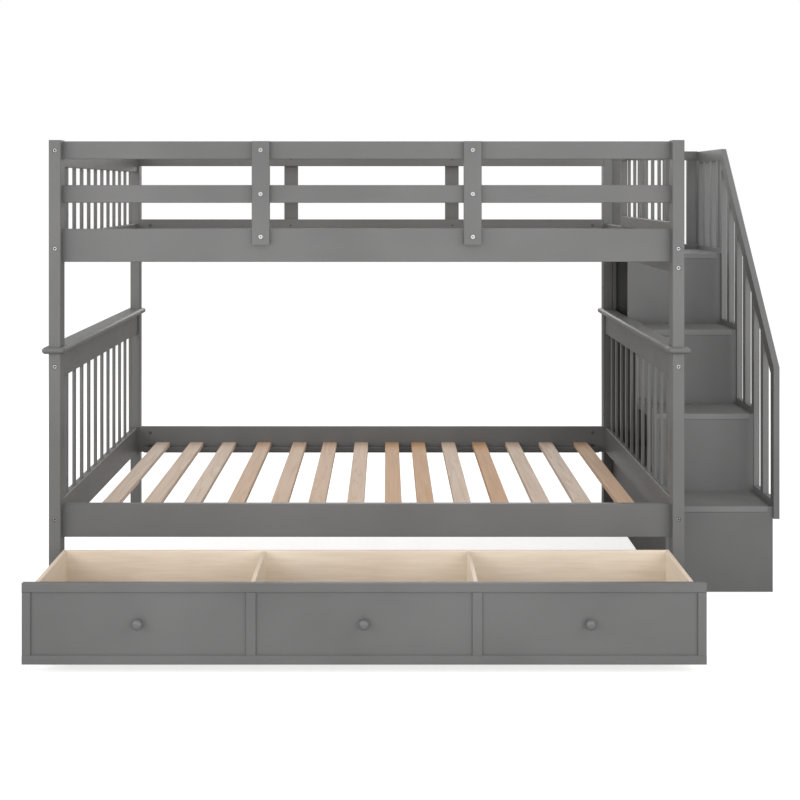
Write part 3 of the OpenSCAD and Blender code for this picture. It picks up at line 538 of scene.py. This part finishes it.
def makeWheel(side, row):
    nodeName = f"wheel_{row}_{side}"
    low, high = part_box(nodeName)
    middle = (low + high) / 2
    radius, half = (high.z - low.z) / 2, (high.x - low.x) / 2
    shape = bmesh.new()
    profile = [(r * radius, out * half) for r, out in wheelLook["profile"]]
    spun(shape, profile, middle, Vector((1, 0, 0)), wheelLook["steps"])
    reach = [share * radius for share in wheelLook["ribReach"]]
    for i in range(wheelLook["ribs"]):
        made = bmesh.ops.create_cube(shape, size=1.0)["verts"]
        size = (2 * wheelLook["ribOut"] * half, wheelLook["ribThick"], reach[1] - reach[0])
        bmesh.ops.scale(shape, vec=size, verts=made)
        bmesh.ops.translate(shape, vec=(0, 0, sum(reach) / 2), verts=made)
        turn = Matrix.Rotation(math.tau * i / wheelLook["ribs"], 3, "X")
        bmesh.ops.rotate(shape, cent=(0, 0, 0), matrix=turn, verts=made)
        bmesh.ops.translate(shape, vec=middle, verts=made)
    wheel = finishPiece(f"{row}{side.capitalize()}Wheel", shape, plastic, nodeName,
                        smooth=False)
    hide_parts(nodeName)


for sideName in ("left", "right"):
    for rowName in ("front", "back"):
        makeWheel(sideName, rowName)
print("wheels made")


# Pale floor, white surroundings, and wide soft lights in front, at both sides, behind and above
stageLook = {
    "floorSize": 120.0,
    "floorColor": (0.5, 0.5, 0.5),
    "floorRoughness": 0.9,
    "floorSpecular": 0.1,
    "floorGlow": 0.72,
    "ambient": 0.6,
    "fills": [
        {"name": "lowFill", "power": 131.0, "size": (7.0, 1.6),
         "place": (0.4, -5.4, 0.9), "aim": (0, 0, 0.8)},
        {"name": "leftFill", "power": 62.0, "size": (3.0, 3.0),
         "place": (-4.0, -4.5, 2.4), "aim": (0, 0, 0.8)},
        {"name": "rightFill", "power": 80.0, "size": (3.0, 3.0),
         "place": (4.0, -3.5, 3.4), "aim": (0, 0, 0.8)},
        {"name": "sideFill", "power": 95.0, "size": (3.0, 3.0),
         "place": (-5.0, -1.5, 3.5), "aim": (0.8, 0.5, 1.0)},
        {"name": "backFill", "power": 60.0, "size": (3.0, 3.0),
         "place": (0, 4.8, 3.0), "aim": (0, 0, 0.8)},
        {"name": "topFill", "power": 60.0, "size": (5.0, 4.0),
         "place": (0.2, 0.3, 4.5), "aim": (0.2, 0.3, 0)},
    ],
}


def makeStage():
    look = stageLook
    shape = bmesh.new()
    bmesh.ops.create_grid(shape, x_segments=1, y_segments=1, size=look["floorSize"] / 2)
    mesh = bpy.data.meshes.new("floor")
    shape.to_mesh(mesh)
    shape.free()
    mat, tree, shader = startMaterial("paleFloor")
    shader.inputs["Base Color"].default_value = (*look["floorColor"], 1)
    shader.inputs["Roughness"].default_value = look["floorRoughness"]
    shader.inputs["Specular IOR Level"].default_value = look["floorSpecular"]
    shader.inputs["Emission Color"].default_value = (1, 1, 1, 1)
    cameraRay = tree.nodes.new("ShaderNodeLightPath").outputs["Is Camera Ray"]
    glow = maths(tree, "MULTIPLY", cameraRay, look["floorGlow"])
    feed(tree, shader.inputs["Emission Strength"], glow)
    mesh.materials.append(mat)
    floor = bpy.data.objects.new("floor", mesh)
    bpy.context.scene.collection.objects.link(floor)

    world = bpy.data.worlds.new("studio")
    world.use_nodes = True
    bpy.context.scene.world = world
    tree = world.node_tree
    tree.nodes["Background"].inputs["Strength"].default_value = look["ambient"]
    tree.nodes["Background"].inputs["Color"].default_value = (1, 1, 1, 1)
    seen = tree.nodes.new("ShaderNodeBackground")
    seen.inputs["Color"].default_value = (1, 1, 1, 1)
    both = tree.nodes.new("ShaderNodeMixShader")
    tree.links.new(tree.nodes.new("ShaderNodeLightPath").outputs["Is Camera Ray"], both.inputs[0])
    tree.links.new(tree.nodes["Background"].outputs[0], both.inputs[1])
    tree.links.new(seen.outputs[0], both.inputs[2])
    tree.links.new(both.outputs[0], tree.nodes["World Output"].inputs["Surface"])

    for fill in look["fills"]:
        light = bpy.data.lights.new(fill["name"], "AREA")
        light.shape = "RECTANGLE"
        light.size, light.size_y = fill["size"]
        light.energy = fill["power"]
        lightObject = bpy.data.objects.new(fill["name"], light)
        lightObject.location = fill["place"]
        aim = Vector(fill["aim"]) - Vector(fill["place"])
        lightObject.rotation_euler = aim.to_track_quat("-Z", "Y").to_euler()
        lightObject.visible_camera = False
        bpy.context.scene.collection.objects.link(lightObject)


makeStage()
print("floor and light made")


# The camera stands in front, level, with the frame shifted down to take in the whole bed
cameraLook = {
    "place": (-0.119, -5.0195, 1.368),
    "sensor": 36.0,
    "lens": 64.14,
    "shift": (0.0168, -0.264),
}


def makeCamera():
    data = bpy.data.cameras.new("camera")
    data.sensor_width = cameraLook["sensor"]
    data.lens = cameraLook["lens"]
    data.shift_x, data.shift_y = cameraLook["shift"]
    camera = bpy.data.objects.new("camera", data)
    camera.location = cameraLook["place"]
    camera.rotation_euler = (math.radians(90), 0, 0)
    bpy.context.scene.collection.objects.link(camera)
    bpy.context.scene.camera = camera


makeCamera()
bpy.context.scene.view_settings.view_transform = "Standard"
print("camera made")
